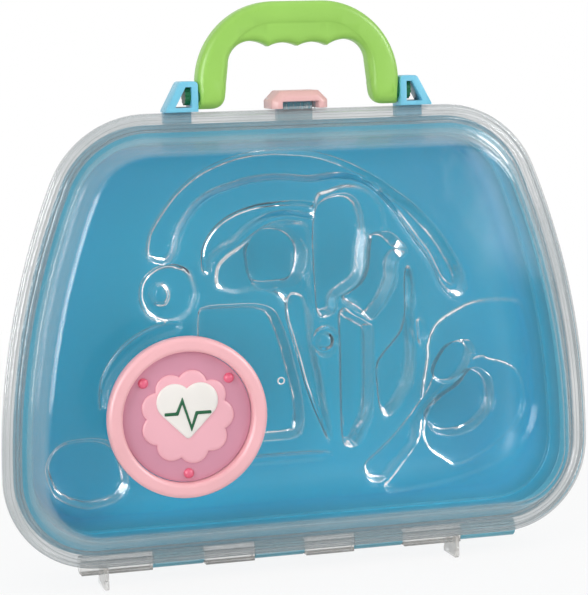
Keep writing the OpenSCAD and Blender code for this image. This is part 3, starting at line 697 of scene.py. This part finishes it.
# Each form: its depth, below 0 for a boss, and the points that its edge runs through
POCKETS = (
    # Arched channel over the whole tray
    (9, ((-71, 154), (-70.5, 164), (-67, 171), (-62, 178), (-57, 184), (-50, 190), (-42, 195), (-32, 199),
        (-22, 201.5), (-10, 202.5), (0, 202), (10, 201), (20, 198.5), (30, 194.5), (40, 189), (50, 182.5),
        (60, 175), (68, 167), (75, 159), (80, 151.5), (85, 143), (87.5, 136), (86.5, 129), (80, 128),
        (75, 133), (72, 139), (68, 147), (62, 155), (57, 162), (50, 172), (40, 182), (32, 186.5),
        (22, 188), (10, 187), (0, 188), (-10, 188.5), (-20, 187.5), (-30, 185), (-39, 182), (-46, 177),
        (-51, 171), (-55, 164), (-57, 156), (-62, 151))),
    # Deeper groove along its outer right side
    (13, ((-2, 201), (10, 200), (20, 197.7), (30, 193.8), (40, 188), (50, 181.5), (60, 174), (68, 166),
        (75, 158), (80, 150.5), (84.5, 142), (86.5, 135.5), (84, 129.5), (77.5, 134), (74, 140),
        (70, 148), (64, 156), (58.5, 163.5), (51, 173.5), (40, 184.5), (30, 190.5), (20, 194.5),
        (10, 197), (0, 198))),
    # Short arch inside it
    (7, ((-45, 147), (-45, 156), (-42, 163), (-36, 169.5), (-28, 174), (-18, 177), (-8, 178), (2, 178),
        (11, 176.5), (12.5, 171), (8, 169.5), (0, 171), (-8, 171), (-15, 169), (-22, 165), (-28, 160),
        (-35, 156), (-40, 151), (-41.5, 145))),
    # Shelf round the round well
    (4, ((-38.5, 139), (-38.5, 148), (-34, 153.5), (-28, 157.5), (-22, 162), (-15, 166.5), (-8, 169),
        (0, 169), (7, 167), (9, 160), (8.6, 150), (8.6, 138), (9.5, 126), (8, 118), (2, 115), (-3, 119),
        (-5, 129), (-10, 134), (-19, 136), (-30, 135))),
    # Round well
    (19, ((-22.5, 147), (-23, 155), (-19.5, 162), (-13, 166), (-5.5, 166.5), (2, 163.5), (6.8, 157),
        (7.3, 149), (5.5, 141), (1, 137), (-8, 136), (-16, 136.5), (-21, 140))),
    # Tapered slot below the well
    (8, ((-4.5, 130), (-4, 121), (-1, 110), (2, 99), (4.2, 90), (6.5, 83), (9, 76), (12, 69), (14.5, 63),
        (17, 61), (16.5, 69), (14.8, 80), (13, 92), (10.8, 103), (9.5, 114), (8.5, 125), (6, 133),
        (-1, 135))),
    # Large four-sided pocket
    (13, ((-47, 68), (-44, 64), (-20, 63.2), (-2, 63.5), (2.5, 67), (3.2, 77), (2, 87), (-0.5, 98),
        (-3.5, 110), (-7, 120), (-11, 126.5), (-19, 129.5), (-33, 130), (-44, 129.5), (-47.5, 125),
        (-48, 100))),
    # Shelf above the bottle
    (4, ((12, 181), (18, 183), (25, 185), (33, 184.5), (40, 181), (45, 175), (47, 168), (47.5, 161),
        (42, 157), (34, 160), (20, 168), (11, 174))),
    # Bottle-shaped pocket
    (13, ((12.5, 175), (19, 180), (28, 181), (34, 177.5), (37.2, 170), (37.8, 160), (36.2, 152),
        (35.2, 143), (32, 137.5), (26, 133.5), (21.5, 130), (20.5, 124), (15.5, 121.5), (11.5, 124),
        (10.6, 135), (10, 150), (10.2, 165))),
    # Hooked pocket to its right
    (16, ((24, 130), (27.5, 126), (33, 122.5), (38.5, 119), (44, 123.5), (48, 129.5), (51.5, 138),
        (52, 146), (57, 151.5), (53.5, 156.5), (49, 160.5), (43, 161.5), (39.8, 159), (38.5, 151),
        (37.6, 143), (34, 136.5), (28, 132.5))),
    # Long upright pocket
    (14, ((23.2, 124), (22.7, 100), (23, 63), (25.5, 57.5), (30, 57.5), (33, 62), (37.5, 72), (38.9, 84),
        (39.3, 100), (39.2, 114), (36, 117.5), (30, 121))),
    # Narrow slot in its floor
    (17, ((25.2, 88), (26.6, 87), (28.4, 78), (30, 68), (29.4, 60.5), (26.4, 60), (25.2, 68))),
    # Bowed pocket to its right
    (12, ((41, 95), (41.6, 80), (43.2, 73), (47, 70.8), (50.5, 73.5), (55, 79.5), (59, 87), (60.3, 95),
        (60.8, 106), (60, 120), (60.6, 132), (59.5, 141), (57.2, 144), (56, 138), (56, 122), (54, 113),
        (49, 106.5), (44, 101))),
    # Shallow round dish between the slots
    (4, ((15, 117.6), (20.6, 115), (22.6, 109.5), (20.6, 104), (15, 101.6), (9.4, 104), (7.2, 109.5),
        (9.4, 115))),
    # Boss in that dish
    (-4, ((15, 114.6), (18.8, 113), (20, 109.5), (18.8, 106), (15, 104.6), (11.2, 106), (10, 109.5),
        (11.2, 113))),
    # Wide basin at the lower right
    (3, ((85, 123.5), (95, 126), (112, 125.5), (118, 121), (121.5, 110), (124, 95), (125, 78), (123, 62),
        (116, 50.5), (106, 44), (92, 38.5), (75, 34.5), (60, 32.8), (49, 32.4), (43, 36), (50, 45),
        (60, 58), (61.5, 66), (63.5, 84), (66, 98), (66.5, 106), (72, 116))),
    # Slanting slot
    (9, ((33.5, 46.5), (36, 50), (41, 54), (48, 60), (55.5, 68), (62, 76), (67, 82.5), (71, 89), (78, 88),
        (79, 82.5), (76, 79), (71.5, 75), (67, 70.5), (63, 65.5), (62, 60), (60.5, 54.5), (54.5, 48.5),
        (49.5, 43.5), (46, 39), (40, 38), (35, 41))),
    # Oval pocket at its upper end
    (14, ((70.5, 88), (71, 93.5), (74.5, 99.5), (78.5, 104), (84.5, 106.3), (90, 105.5), (93, 100.5),
        (92, 94), (87.5, 87), (81.5, 82.8), (75, 83))),
    # Deep round pocket
    (19, ((100.5, 88.5), (104, 84), (105, 76), (103.5, 69), (99, 63), (93, 58.8), (86, 56.8), (78, 57),
        (71, 60), (67.5, 66), (70, 72.5), (76.5, 78.5), (84, 83), (90, 90), (95, 91.5))),
    # Shelf round the deep pocket
    (6, ((94.5, 98.5), (101, 97), (108, 95), (113, 92.5), (117, 88.5), (119.8, 82), (120.5, 74),
        (118.5, 65), (113.5, 58), (106.5, 52.5), (98, 47), (89, 42.8), (81, 41.8), (74, 46), (67.5, 51),
        (64, 57.5), (64, 64), (67, 73), (80, 92))),
    # Small dish in the shelf
    (3, ((110.5, 91), (114, 88.5), (115, 84), (112.5, 80.5), (108.5, 81), (106.5, 85), (107.5, 89.5))),
    # Small dish above the basin
    (3, ((61, 117.5), (64, 118.5), (66.8, 115), (67, 109), (65.5, 104.8), (62.5, 105), (61.2, 110))),
    # Round well at the lower left
    (10, ((-121.5, 50), (-123, 57), (-120.5, 64), (-115, 68.8), (-108, 70.3), (-97, 70), (-89, 66),
        (-85, 57), (-84, 47), (-88, 40.5), (-95, 37.8), (-104, 37), (-113, 40), (-119, 44.5))),
    # Round dish at the left
    (6, ((-47.5, 139), (-51, 147.5), (-59, 151), (-68, 149.5), (-74.5, 143), (-75.5, 134), (-71, 126),
        (-62, 122.5), (-53.5, 125), (-48.5, 131))),
    # Boss in that dish
    (-5, ((-60, 136), (-62.5, 141.5), (-68, 142), (-70.5, 137), (-68, 131.5), (-62.5, 131))),
    # Hollow beside it
    (4, ((-50.5, 137), (-53, 141), (-56.5, 140.5), (-57, 136), (-54.5, 132), (-51.5, 132.5))),
    # Curved step above the badge
    (3, ((-58, 118), (-70, 114), (-82, 106), (-91, 95), (-94, 84), (-97, 84), (-96, 98), (-88, 111),
        (-76, 120), (-62, 124.5), (-56, 123))),
    # Long bar along the foot
    (3, ((-76, 47), (-62, 50), (-40, 50.5), (-10, 51), (12, 51), (17, 54), (13, 56.5), (-10, 57),
        (-45, 56.5), (-66, 55.5), (-76, 52))),
)


def tray_points(edge, pockets, rows, wall, lip):
    """Rows of points along every pocket wall, kept where no other bend is nearer, and a grid"""
    step, clear_of_wall = 2.4, 0.9
    points = []
    for _, loop in pockets:
        for d in rows:
            row = inward(loop, d)
            points += [p for p, at in zip(row, depth_inside(np.array(row), loop)) if abs(at - d) < 0.2]
    cells = grid_points(edge, step, 0)
    gap = np.full(len(cells), np.inf)
    for _, loop in pockets:
        d = depth_inside(np.array(cells), loop)
        gap = np.minimum(gap, np.where(d > 0, d - wall, -d - lip))
    return points + [p for p, at in zip(cells, gap) if at > clear_of_wall]


def inner_tray():
    """The formed sheet: pockets with sloping walls, drawn as a top skin and an under skin"""
    wall, lip, sheet_t, edge_inset = 3.2, 0.8, 0.8, 14.25
    rows = (-lip, -0.25, 0.35, 1.0, 1.7, 2.4, wall)
    pockets = [(depth, smooth_loop(points, 1.3)) for depth, points in POCKETS]
    edge = [p + n * edge_inset for p, n in STATIONS]
    loose = tray_points(edge, pockets, rows, wall, lip)

    def height(flat):
        depth = np.zeros(len(flat))
        for deep, loop in pockets:
            down = deep * step_up((depth_inside(flat, loop) + lip) / (wall + lip))
            depth = np.maximum(depth, down) if deep > 0 else np.maximum(depth + down, 0)
        return -LEDGE + 1 - depth

    bm = bmesh.new()
    sheet(bm, edge, [], loose, height)
    under = bmesh.new()
    sheet(under, edge, [], loose, lambda flat: height(flat) - sheet_t)
    pour(under, bm)
    finish_piece("tray_forming", bm, "back_case", "clear_tray", ["inner_tray"], smooth=75)


# Handle, brackets and latch --------------------

HANDLE_TOP = RIM_TOP + 50.0
PIVOT_V = RIM_TOP + 7.8
HALF_T, HALF_W, BEND_R, EDGE_ROUND = 6.5, 48.6, 37.5, 3.5
FINGER_R, FINGER_PITCH, OPENING_IN = 16.0, 14.2, 33.8


def mirrored(half):
    """A line and its mirror image, back to its start"""
    return half + [Vector((-p.x, p.y)) for p in reversed(half)]


def handle_loop():
    """Outline of the handle: finger dips, right leg, outer bend, and the same mirrored"""
    dip_v, foot_v, leg_lean = HANDLE_TOP - 19.0, PIVOT_V - HALF_T, 3.7
    cusp = math.sqrt(FINGER_R ** 2 - (FINGER_PITCH / 2) ** 2)
    outer_x = FINGER_PITCH + math.sqrt(FINGER_R ** 2 - (cusp - 1) ** 2)
    inner_bend_r = OPENING_IN - outer_x
    corner = Vector((outer_x, dip_v + 1 - inner_bend_r))
    half = []
    for low, high, middle, top, steps in ((0, FINGER_PITCH, FINGER_PITCH / 2, dip_v, 10),
                                          (FINGER_PITCH, outer_x, outer_x, dip_v + 1, 7)):
        for i in range(steps):
            x = low + (high - low) * i / steps
            half.append(Vector((x, top - FINGER_R + math.sqrt(FINGER_R ** 2 - (x - middle) ** 2))))
    half += arc(corner, inner_bend_r, QUARTER, 0, 10)
    slope = leg_lean / (corner.y - PIVOT_V + 13)
    inner_foot = Vector((OPENING_IN + slope * (corner.y - foot_v) - 0.3, foot_v))
    foot = [half[-1], inner_foot, Vector((HALF_W, foot_v)), Vector((HALF_W, PIVOT_V))]
    half += fillet(foot[:3], 5.5, 6, closed=False)[1:-1]
    half += fillet(foot[1:], 1.2, 6, closed=False)[1:-1]
    half += arc(Vector((HALF_W - BEND_R, HANDLE_TOP - BEND_R)), BEND_R, 0, QUARTER, 26)
    return half + [Vector((-p.x, p.y)) for p in reversed(half[1:])]


def grip_panel():
    """Outline of the shallow panel sunk into each face of the grip"""
    c, r = Vector((11.7, 237.9)), 24.5
    end = [Vector((c.x + r - 2.5, c.y - 5)), Vector((c.x + r - 0.8, c.y - 4.2)), Vector((c.x + r, c.y - 2))]
    return mirrored(end + arc(c, r, 0, QUARTER, 16))


def handle_halves():
    """Two halves that meet in a fine seam groove, with soft edges and a round foot"""
    panel_sink, seam_half, thinnest = 0.5, 0.25, 0.3
    loop, panel = handle_loop(), grip_panel()
    lines = [inward(loop, d) for d in (0.25, 0.8, 1.6, 2.5, EDGE_ROUND)]
    lines += [inward(panel, d) for d in (-0.4, 0, 0.4)]

    def height(flat):
        d = np.clip(depth_inside(flat, loop), 0, EDGE_ROUND)
        side = HALF_T - EDGE_ROUND + np.sqrt(EDGE_ROUND ** 2 - (EDGE_ROUND - d) ** 2)
        below = np.clip(PIVOT_V - flat[:, 1], 0, HALF_T)
        foot = np.sqrt(HALF_T ** 2 - below ** 2) / HALF_T
        sunk = panel_sink * step_up((depth_inside(flat, panel) + 0.4) / 0.8)
        return np.maximum((side - sunk) * foot, thinnest)

    edge = height(np.array(loop))
    groove = inward(loop, 0.3)
    for name, side in (("handle_front", 1), ("handle_back", -1)):
        def half_point(x, v, w):
            return place(x, v, side * w)

        bm = bmesh.new()
        sheet(bm, loop, lines, grid_points(loop, 4, 0.5), height, half_point)
        rings = [[bm.verts.new(half_point(p.x, p.y, e)) for p, e in zip(loop, edge)],
                 [bm.verts.new(half_point(p.x, p.y, seam_half)) for p in loop],
                 [bm.verts.new(half_point(p.x, p.y, 0)) for p in groove]]
        bridge(bm, rings)
        bm.faces.new(rings[-1])
        finish_piece(name + "_moulding", bm, "handle", "green_handle", [name], smooth=35)


def bracket(name, side):
    """An open frame with one sloping leg, on a foot that its post carries"""
    foot, top, near, far = RIM_TOP + RIM_GAP, RIM_TOP + 14.3, BRACKET_IN, BRACKET_IN + BRACKET_W
    slope = 7 / (top - foot)
    frame_line = [(near, foot), (near, top - 1.5), (near + 0.5, top - 0.5), (near + 1.5, top),
                  (near + 7.3, top), (near + 8.3, top - 0.4), (near + 9, top - 1.4),
                  (far, foot + 0.8), (far, foot)]
    window = [(near + 3, foot + 2), (near + 3, top - 2.6), (near + 5.3 + slope, top - 2.6),
              (far - 3.4 - 2 * slope, foot + 2)]
    frame_line, window = ([(side * x, v) for x, v in line] for line in (frame_line, window))
    bm = cut(put(raw_prism(frame_line, -6, 6)), put(raw_prism(window, -9, 9)))
    round_off(bm, 0.5 * MM)
    low, high = sorted((side * (near + 1), side * (far - 1.3)))
    block(bm, (low, foot, -9.5), (high, foot + 2, 0), 0.4)
    block(bm, (low, RIM_TOP - SEAL_INSET + 0.2, -9.5), (high, foot + 2, -4), 0.4)
    finish_piece(name + "_moulding", bm, "back_case", "pale_blue", [name])


def latch():
    """A chamfered hood over the catch tab, open below and hollow round the pin's lug"""
    half, low, top, front, back = 13.6, RIM_TOP + RIM_GAP, RIM_TOP + 8.7, 6, -10.6
    corner, chamfer = 4.4, 2.5
    outline = [(-half, low), (half, low), (half, top - corner), (half - corner, top),
               (corner - half, top), (-half, top - corner)]
    bm = put(raw_prism(outline, back, front))
    front_y = place(0, 0, front).y
    front_edges = [e for e in bm.edges if all(abs(v.co.y - front_y) < 1e-6 for v in e.verts)
                   and any(v.co.z > (low + 0.01) * MM for v in e.verts)]
    bmesh.ops.bevel(bm, geom=front_edges, offset=chamfer * MM, segments=1, profile=0.5, affect="EDGES")
    notch = rectangle((-NOTCH_HALF, low - 1), (NOTCH_HALF, RIM_TOP + TAB_RISE + 0.4))
    hollow = rectangle((-NOTCH_HALF, low - 1), (NOTCH_HALF, LATCH_AXIS_V + 3.4))
    bm = cut(bm, put(raw_prism(notch, back - 1, front + 2)),
             put(raw_prism(hollow, back - 1, LATCH_AXIS_W + 3.4)))
    round_off(bm, 0.45 * MM)
    finish_piece("latch_moulding", bm, "latch", "pink_latch", ["latch"])


# Badge --------------------

# Thicknesses of the badge's layers, and the sizes of the rosette and the heart
PLATE_T, ROSETTE_T, HEART_T = 1.3, 1.2, 1.0
ROSETTE_R = 22.0
HEART = 0.77 * ROSETTE_R


def raised(name, loop, low, tall, soft, slot, node):
    """A low relief on the badge with a soft edge"""
    rim = 0.35
    lines = [inward(loop, soft * k) for k in (0.08, 0.3, 0.6, 1)]

    def height(flat):
        t = np.clip(depth_inside(flat, loop) / soft, 0, 1)
        return low + tall * (rim + (1 - rim) * np.sqrt(1 - (1 - t) ** 2))

    def on_badge(x, v, w):
        return place(x + BADGE_C.x, v + BADGE_C.y, COVER_DEPTH + w)

    bm = bmesh.new()
    sheet(bm, loop, lines, grid_points(loop, 3, 0.5), height, on_badge)
    top = [bm.verts.new(on_badge(p.x, p.y, low + rim * tall)) for p in loop]
    foot = [bm.verts.new(on_badge(p.x, p.y, low)) for p in loop]
    bridge(bm, [top, foot])
    bm.faces.new(foot)
    finish_piece(name, bm, "cover", slot, [node], smooth=40)


def badge_ring():
    high, outer_r, inner_r, inner = 5.8, 2.6, 2.1, BADGE_R - BADGE_RING_W
    outer_c = Vector((BADGE_R - outer_r, high - outer_r))
    inner_c = Vector((inner + inner_r, high - inner_r))
    section = [Vector((inner, 0)), Vector((BADGE_R - 0.6, 0)), Vector((BADGE_R, 0.7))]
    section += arc(outer_c, outer_r, 0, QUARTER, 8) + arc(inner_c, inner_r, QUARTER, math.pi, 8)
    bm = bmesh.new()
    turned(bm, section, BADGE_C, closed=True)
    finish_piece("badge_ring_moulding", bm, "cover", "pink_ring", ["badge_ring"], smooth=40)


def badge_plate():
    """The recessed disc, with a faint dish and a soft edge"""
    section = [(0, PLATE_T), (10, PLATE_T), (20, PLATE_T + 0.03), (28, PLATE_T + 0.12),
               (29.6, PLATE_T + 0.2), (30.2, PLATE_T), (30.3, 0)]
    bm = bmesh.new()
    turned(bm, section, BADGE_C, 120)
    finish_piece("badge_plate_moulding", bm, "cover", "rose_plate", ["badge_plate"])


def badge_rosette():
    """Nine round petals about a disc"""
    petals, steps = 9, 216
    petal_r = 0.32 * ROSETTE_R
    reach = ROSETTE_R - petal_r
    loop = []
    for i in range(steps):
        a = 2 * math.pi * i / steps
        off = (a + math.pi / petals) % (2 * math.pi / petals) - math.pi / petals
        r = reach * math.cos(off) + math.sqrt(petal_r ** 2 - (reach * math.sin(off)) ** 2)
        loop.append(Vector((r * math.cos(a), r * math.sin(a))))
    raised("badge_rosette_relief", loop, PLATE_T, ROSETTE_T, 2.4, "pale_pink", "badge_rosette")


def badge_heart():
    """A square on its corner with a half round on each upper side"""
    s = HEART
    flat = fillet([Vector((0, s)), Vector((0, 0)), Vector((s, 0))], 2.0, 4, closed=False)[1:]
    flat += arc(Vector((s, s / 2)), s / 2, -QUARTER, QUARTER, 22)[1:]
    flat += arc(Vector((s / 2, s)), s / 2, 0, math.pi, 22)[1:]
    turn = Matrix.Rotation(math.radians(45), 2)
    loop = [turn @ p - Vector((0, 0.62 * s)) for p in flat]
    raised("badge_heart_relief", loop, PLATE_T + ROSETTE_T, HEART_T, 2.0, "white_print", "badge_heart")


def badge_pulse():
    """A pulse line across the heart, drawn as a mitred band about its trace"""
    half_w, longest_mitre = 0.76, 0.45
    trace = [HEART * Vector(p) + Vector((0, 0.12 * HEART))
             for p in ((-0.65, 0), (-0.3, 0), (-0.15, 0.36), (0.09, -0.42), (0.24, 0), (0.65, 0))]
    sides = []
    for side in (1, -1):
        row = []
        for i, p in enumerate(trace):
            before = (p - trace[i - 1]).normalized() if i else (trace[1] - p).normalized()
            after = (trace[i + 1] - p).normalized() if i + 1 < len(trace) else before
            across_both = before + after
            n = Vector((-across_both.y, across_both.x)).normalized()
            spread = max(longest_mitre, n.dot(Vector((-before.y, before.x))))
            row.append(p + side * n * half_w / spread)
        sides.append(row)
    band = fillet(sides[1] + sides[0][::-1], 0.5)
    low = PLATE_T + ROSETTE_T + HEART_T - 0.05
    raised("badge_pulse_relief", band, low, 0.5, 0.5, "green_print", "badge_pulse")


def badge_beads():
    """Three domes between the rosette and the ring"""
    dome = [(0.02, 3.4), (0.8, 3.33), (1.5, 3.05), (2.05, 2.55), (2.35, 1.9), (2.4, 1.4)]
    bm = bmesh.new()
    for degrees in (40, 140, 270):
        a = math.radians(degrees)
        turned(bm, dome, BADGE_C + 26.25 * Vector((math.cos(a), math.sin(a))), 32)
    finish_piece("badge_bead_domes", bm, "cover", "deep_pink", ["badge_beads"], smooth=50)


# Scene --------------------

def smooth_by_angle():
    """A node group that welds a mesh and shades it smooth, but for edges over 30 degrees"""
    group = bpy.data.node_groups.new("smooth_by_angle", "GeometryNodeTree")
    group.interface.new_socket("Geometry", in_out="INPUT", socket_type="NodeSocketGeometry")
    group.interface.new_socket("Geometry", in_out="OUTPUT", socket_type="NodeSocketGeometry")
    nodes, links = group.nodes, group.links
    start, end = nodes.new("NodeGroupInput"), nodes.new("NodeGroupOutput")
    weld = nodes.new("GeometryNodeMergeByDistance")
    weld.inputs["Distance"].default_value = 2e-6
    angle = nodes.new("GeometryNodeInputMeshEdgeAngle")
    flat = nodes.new("FunctionNodeCompare")
    flat.operation = "LESS_THAN"
    flat.inputs["B"].default_value = math.radians(30)
    faces = nodes.new("GeometryNodeSetShadeSmooth")
    edges = nodes.new("GeometryNodeSetShadeSmooth")
    edges.domain = "EDGE"
    links.new(start.outputs[0], weld.inputs["Geometry"])
    links.new(weld.outputs[0], faces.inputs["Geometry"])
    links.new(faces.outputs[0], edges.inputs["Geometry"])
    links.new(angle.outputs["Unsigned Angle"], flat.inputs["A"])
    links.new(flat.outputs["Result"], edges.inputs["Shade Smooth"])
    links.new(edges.outputs[0], end.inputs[0])
    return group


def shade_cad_nodes():
    """CAD nodes get their material, and smooth shading by a modifier"""
    group = smooth_by_angle()
    slots = {part["node"]: part["material_slot"] for part in frame["record"]["subparts"]}
    for name, node in frame["nodes"].items():
        node.data.materials.clear()
        node.data.materials.append(MATERIALS[slots[name]])
        node.modifiers.new("smooth", "NODES").node_group = group


def camera():
    """The photograph's viewpoint: bearing, height, distance, focal length and roll"""
    bearing, tilt, roll = math.radians(16.13), math.radians(8.0), math.radians(1.29)
    distance, focal_px, image_w = 1013.0, 2135.0, 595.0
    centre_px, middle_px = Vector((302.63, 332.33)), Vector((294.0, 297.5))
    level = math.cos(tilt)
    ahead = Vector((math.sin(bearing) * level, math.cos(bearing) * level, -math.sin(tilt)))
    right = Vector((math.cos(bearing), -math.sin(bearing), 0))
    up = right.cross(ahead)
    data = bpy.data.cameras.new("camera")
    cam = add_object("camera", data)
    turn = Matrix((right, up, -ahead)).transposed() @ Matrix.Rotation(-roll, 3, "Z")
    target = place(0, (RIM_TOP + RIM_LIFT) / 2, 0)
    cam.matrix_world = Matrix.Translation(target - ahead * distance * MM) @ turn.to_4x4()
    data.lens = focal_px / image_w * data.sensor_width
    data.shift_x = (middle_px.x - centre_px.x) / image_w
    data.shift_y = (centre_px.y - middle_px.y) / image_w
    data.clip_start, data.clip_end = 0.05, 60
    bpy.context.scene.camera = cam


def area_light(name, location, size, power, matt=True, gloss=True):
    """A rectangular lamp that faces the case"""
    data = bpy.data.lights.new(name, "AREA")
    data.shape = "RECTANGLE"
    data.size, data.size_y = size
    data.energy = power
    lamp = add_object(name, data)
    lamp.location = location
    ahead = Vector((0, 0, 0.12)) - lamp.location
    lamp.rotation_euler = ahead.to_track_quat("-Z", "Y").to_euler()
    lamp.visible_diffuse, lamp.visible_glossy = matt, gloss


def lamps():
    """Soft boxes that light the case, and panels that only its gloss shows"""
    area_light("left_box", (-1.3, -0.9, 0.75), (0.6, 1.3), 9.5)
    area_light("right_box", (1.2, -1.0, 0.9), (0.6, 1.0), 7)
    area_light("top_box", (0.1, -0.2, 1.5), (1.3, 0.9), 4)
    area_light("front_fill", (-0.2, -1.7, 0.25), (1.2, 0.4), 3.5, gloss=False)
    area_light("left_panel", (-1.35, -0.8, 0.35), (1.05, 1.0), 48, matt=False)
    area_light("right_panel", (1.3, -0.8, 0.8), (0.7, 0.7), 30, matt=False)
    area_light("face_panel", (0.72, -1.2, 0.25), (0.36, 0.5), 2, matt=False)


def seen_by_eye(nodes, links):
    """1 for camera rays and for those that a gloss or a clear piece passes on"""
    ray = nodes.new("ShaderNodeLightPath").outputs
    shown = math_node(nodes, links, "MAXIMUM", ray["Is Camera Ray"], ray["Is Glossy Ray"])
    return math_node(nodes, links, "MAXIMUM", shown, ray["Is Transmission Ray"])


def white_world():
    world = bpy.data.worlds.new("studio")
    bpy.context.scene.world = world
    world.use_nodes = True
    nodes, links = world.node_tree.nodes, world.node_tree.links
    background = nodes["Background"]
    background.inputs["Color"].default_value = (1, 1, 1, 1)
    level = ramp(nodes, links, seen_by_eye(nodes, links), 0.5, 1.0, 0.0, 1.0)
    links.new(level, background.inputs["Strength"])


def floor_shade():
    """Matt and pale, turning white with distance, so that only the soft shadow shows"""
    m, nodes, links, out = new_material("pale_floor")
    matt = nodes.new("ShaderNodeBsdfDiffuse")
    matt.inputs["Color"].default_value = (0.86, 0.86, 0.86, 1)
    glow = nodes.new("ShaderNodeEmission")
    where = nodes.new("ShaderNodeTexCoord")
    away = nodes.new("ShaderNodeVectorMath")
    away.operation = "LENGTH"
    links.new(where.outputs["Object"], away.inputs[0])
    far = ramp(nodes, links, away.outputs["Value"], 0.88, 1.0, 0.25, 0.9)
    share = math_node(nodes, links, "MULTIPLY", seen_by_eye(nodes, links), far)
    links.new(mix_shader(nodes, links, share, matt.outputs[0], glow.outputs[0]), out.inputs["Surface"])
    return m


def pale_floor():
    bm = bmesh.new()
    bmesh.ops.create_grid(bm, x_segments=1, y_segments=1, size=20)
    mesh = as_mesh(bm, "floor")
    mesh.materials.append(floor_shade())
    add_object("floor", mesh)


bpy.context.scene.view_settings.view_transform = "Standard"
shade_cad_nodes()
cover_rim()
cover_face()
gate_mark()
cover_knuckles()
catch_tab()
fin("left_foot", -98.4)
fin("right_foot", 76.2)
blue_shell()
shell_fittings()
inner_tray()
handle_halves()
bracket("left_bracket", -1)
bracket("right_bracket", 1)
latch()
badge_ring()
badge_plate()
badge_rosette()
badge_heart()
badge_pulse()
badge_beads()
camera()
lamps()
white_world()
pale_floor()
